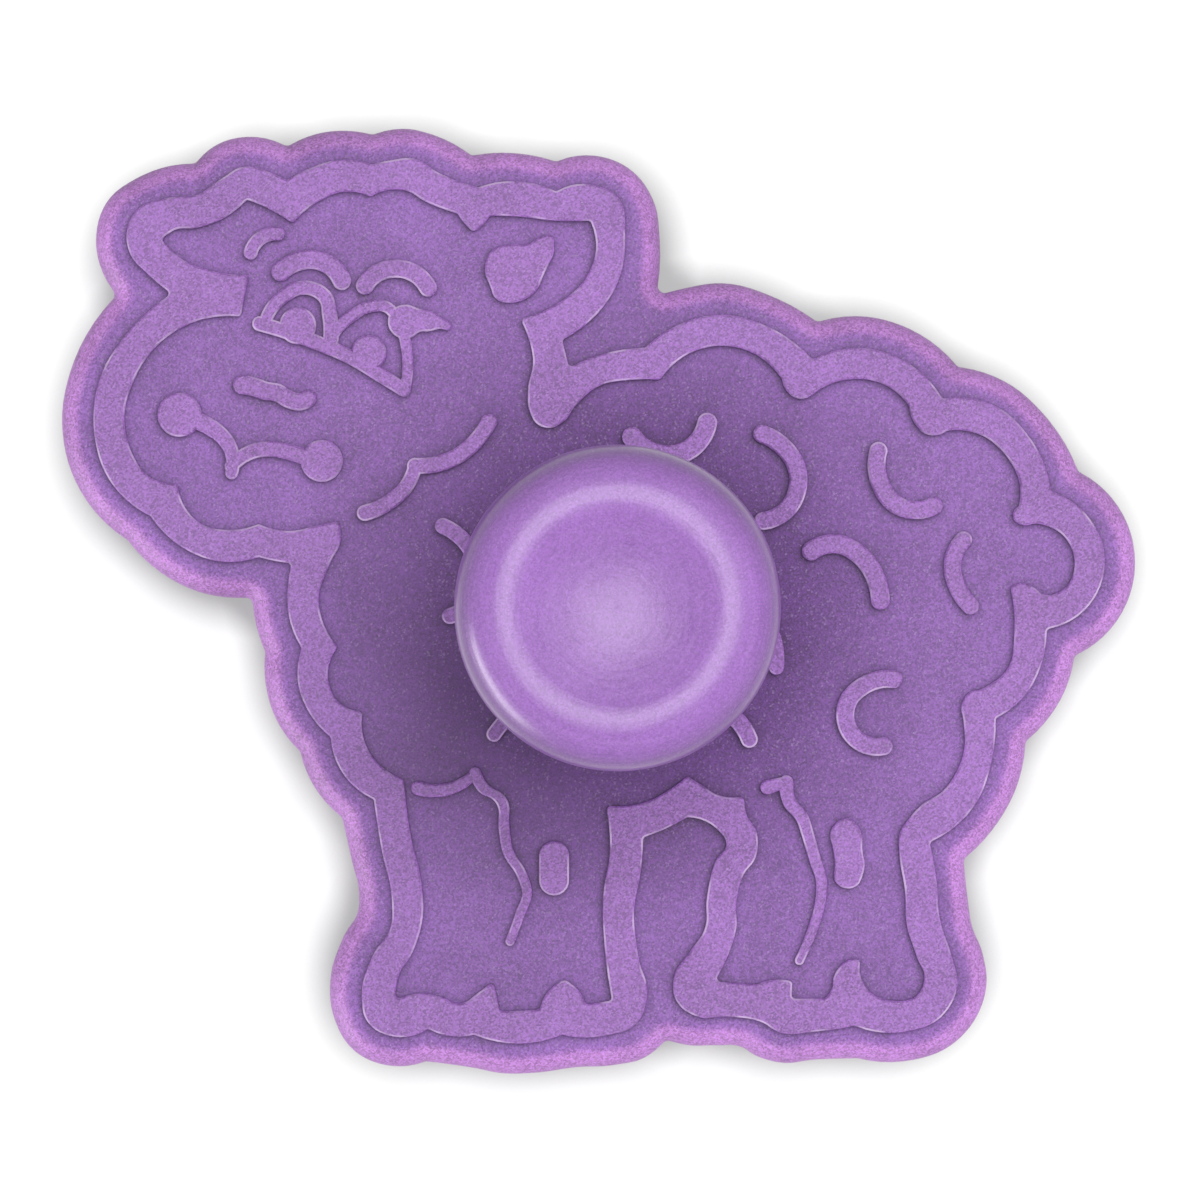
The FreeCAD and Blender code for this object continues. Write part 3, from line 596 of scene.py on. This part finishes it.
# %% [markdown]
# ## The line of the spring
#
# A compression spring of drawn steel wire stands around the stem, from a pocket in the sleeve to a recess in
# the knob. Its coils lie closer at both ends than in the middle. The solid spring has the same form, but we
# wind it again, because the finish needs to know where along the wire a point is. A curve with a round bevel
# could draw it. A mesh whose rings are placed one by one keeps the rings of the wire even and in our hands.
# First comes the centre line, a helix whose climb swells in the middle.

# %% Centre line of the wire
WIRE_RADIUS = 0.4 * MM
COIL_RADIUS = 4.2 * MM
COIL_TURNS = 7
PITCH_SWELL = 1.2 * MM
SEAT_GAP = 0.05 * MM
SPRING_POCKET_DEPTH = 6 * MM
SPRING_RECESS_DEPTH = 2.2 * MM

pocket_floor = shell_high.z - SPRING_POCKET_DEPTH
knob_seat = knob_low.z + SPRING_RECESS_DEPTH
wire_low = pocket_floor + SEAT_GAP + WIRE_RADIUS
wire_rise = knob_seat - SEAT_GAP - WIRE_RADIUS - wire_low


def wire_point(turns):
    angle = 2 * math.pi * turns
    swell = PITCH_SWELL * COIL_TURNS / (2 * math.pi) * math.sin(2 * math.pi * turns / COIL_TURNS)
    height = wire_low + wire_rise * turns / COIL_TURNS - swell
    return Vector((press_axis.x + COIL_RADIUS * math.cos(angle),
                   press_axis.y + COIL_RADIUS * math.sin(angle), height))


def wire_direction(turns, step=0.001):
    return (wire_point(turns + step) - wire_point(turns - step)).normalized()


print("spring from %.2f to %.2f mm" % (pocket_floor / MM, knob_seat / MM))

# %% [markdown]
# ## Stations along the wire
#
# The wire is cut off at both ends, a wire's width past the coil, and the cut edges are a little rounded. So
# the stations of the sweep are the points of the helix, with two more before the first and after the last.
# The outermost ones are narrower, which gives each end a small bevel.

# %% Stations of the sweep
RINGS_PER_TURN = 56
END_SHARE = 0.7

stations = []
for i in range(COIL_TURNS * RINGS_PER_TURN + 1):
    turns = i / RINGS_PER_TURN
    stations.append((wire_point(turns), wire_direction(turns), 1.0))
start, start_way, _ = stations[0]
end, end_way, _ = stations[-1]
lead = 2 * WIRE_RADIUS
end_bevel = (1 - END_SHARE) * WIRE_RADIUS
stations.insert(0, (start - start_way * (lead - end_bevel), start_way, 1.0))
stations.insert(0, (start - start_way * lead, start_way, END_SHARE))
stations.append((end + end_way * (lead - end_bevel), end_way, 1.0))
stations.append((end + end_way * lead, end_way, END_SHARE))
print("wire of %d rings" % len(stations))

# %% [markdown]
# ## Rings of the wire
#
# Around each station goes a ring of points, square to the wire. A ring needs one direction to start from.
# The way outward from the axis always works for a coil, since the wire never runs straight out, and it keeps
# the rings from twisting. The second direction is square to it and to the wire.

# %% Rings around the stations
WIRE_SIDES = 20

wire = bmesh.new()
rings = []
for middle, way, share in stations:
    outward = Vector((middle.x - press_axis.x, middle.y - press_axis.y, 0))
    outward = (outward - way * outward.dot(way)).normalized()
    across = way.cross(outward)
    ring = []
    for k in range(WIRE_SIDES):
        angle = 2 * math.pi * k / WIRE_SIDES
        spoke = outward * math.cos(angle) + across * math.sin(angle)
        ring.append(wire.verts.new(middle + spoke * (WIRE_RADIUS * share)))
    rings.append(ring)
print("%d points on the wire" % len(wire.verts))

# %% [markdown]
# ## Skin of the wire
#
# Neighbouring rings are joined by four-sided faces, and the ends are closed. The bridge tool could do that,
# but here each face also gets a place in a map: one direction goes around the wire, the other along it. The
# finish reads this map.

# %% Skin the wire
along_wire = wire.loops.layers.uv.new("along_wire")
for i in range(len(rings) - 1):
    for k in range(WIRE_SIDES):
        k2 = (k + 1) % WIRE_SIDES
        face = wire.faces.new((rings[i][k], rings[i][k2], rings[i + 1][k2], rings[i + 1][k]))
        face.smooth = True
        corners = ((k, i), (k + 1, i), (k + 1, i + 1), (k, i + 1))
        for loop, (u, v) in zip(face.loops, corners):
            loop[along_wire].uv = (u / WIRE_SIDES, v / RINGS_PER_TURN)
wire.faces.new(rings[0][::-1])
wire.faces.new(rings[-1])
bmesh.ops.recalc_face_normals(wire, faces=wire.faces)
spring_mesh = bpy.data.meshes.new("coil_spring")
wire.to_mesh(spring_mesh)
wire.free()
coil_spring = bpy.data.objects.new("coil_spring", spring_mesh)
bpy.context.scene.collection.objects.link(coil_spring)
print("spring of %d faces" % len(spring_mesh.polygons))

# %% [markdown]
# ## Drawn steel
#
# Wire is pulled through a die, which leaves fine lines along its length. Anisotropic shine could stand for
# them from afar, but close up the lines themselves show. A noise that is dense around the wire and slow
# along it gives them, read from the map above. They change the roughness most, the colour a little.

# %% Finish the wire
STEEL_DARK = (0.42, 0.42, 0.44, 1)
STEEL_LIGHT = (0.66, 0.66, 0.68, 1)
STEEL_ROUGHNESS = (0.42, 0.24)
LINES_AROUND = 26
LINES_PER_TURN = 3
DRAWN_NOISE = {"Scale": 1.0, "Detail": 4.0, "Roughness": 0.65}
DRAWN_RANGE = (0.3, 0.7)
GROOVE_DEPTH = 0.01 * MM
GROOVE_STRENGTH = 0.3

spring_steel = new_material("spring_steel")
tree = spring_steel.node_tree
wire_map = add_node(tree, "ShaderNodeTexCoord").outputs["UV"]
stretch = add_node(tree, "ShaderNodeMapping", {
    "Vector": wire_map, "Scale": (LINES_AROUND, LINES_PER_TURN, 1)})
noise = add_node(tree, "ShaderNodeTexNoise", {"Vector": stretch.outputs[0], **DRAWN_NOISE})
drawn_lines = rescale(tree, noise.outputs["Fac"], *DRAWN_RANGE)
grooves = add_node(tree, "ShaderNodeBump", {
    "Strength": GROOVE_STRENGTH, "Distance": GROOVE_DEPTH, "Height": drawn_lines})
shader = add_node(tree, "ShaderNodeBsdfPrincipled", {
    "Metallic": 1.0,
    "Base Color": mix_colours(tree, drawn_lines, STEEL_DARK, STEEL_LIGHT),
    "Roughness": rescale(tree, drawn_lines, 0.0, 1.0, *STEEL_ROUGHNESS),
    "Normal": grooves.outputs[0],
})
add_node(tree, "ShaderNodeOutputMaterial", {"Surface": shader.outputs[0]})
dress(coil_spring, spring_steel)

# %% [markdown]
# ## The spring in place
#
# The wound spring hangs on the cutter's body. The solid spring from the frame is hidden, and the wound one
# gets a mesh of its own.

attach(coil_spring, "cutter")
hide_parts("return_spring")
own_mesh(coil_spring)

# %% [markdown]
# ## The end
#

# %% Finish
print("scene finished")
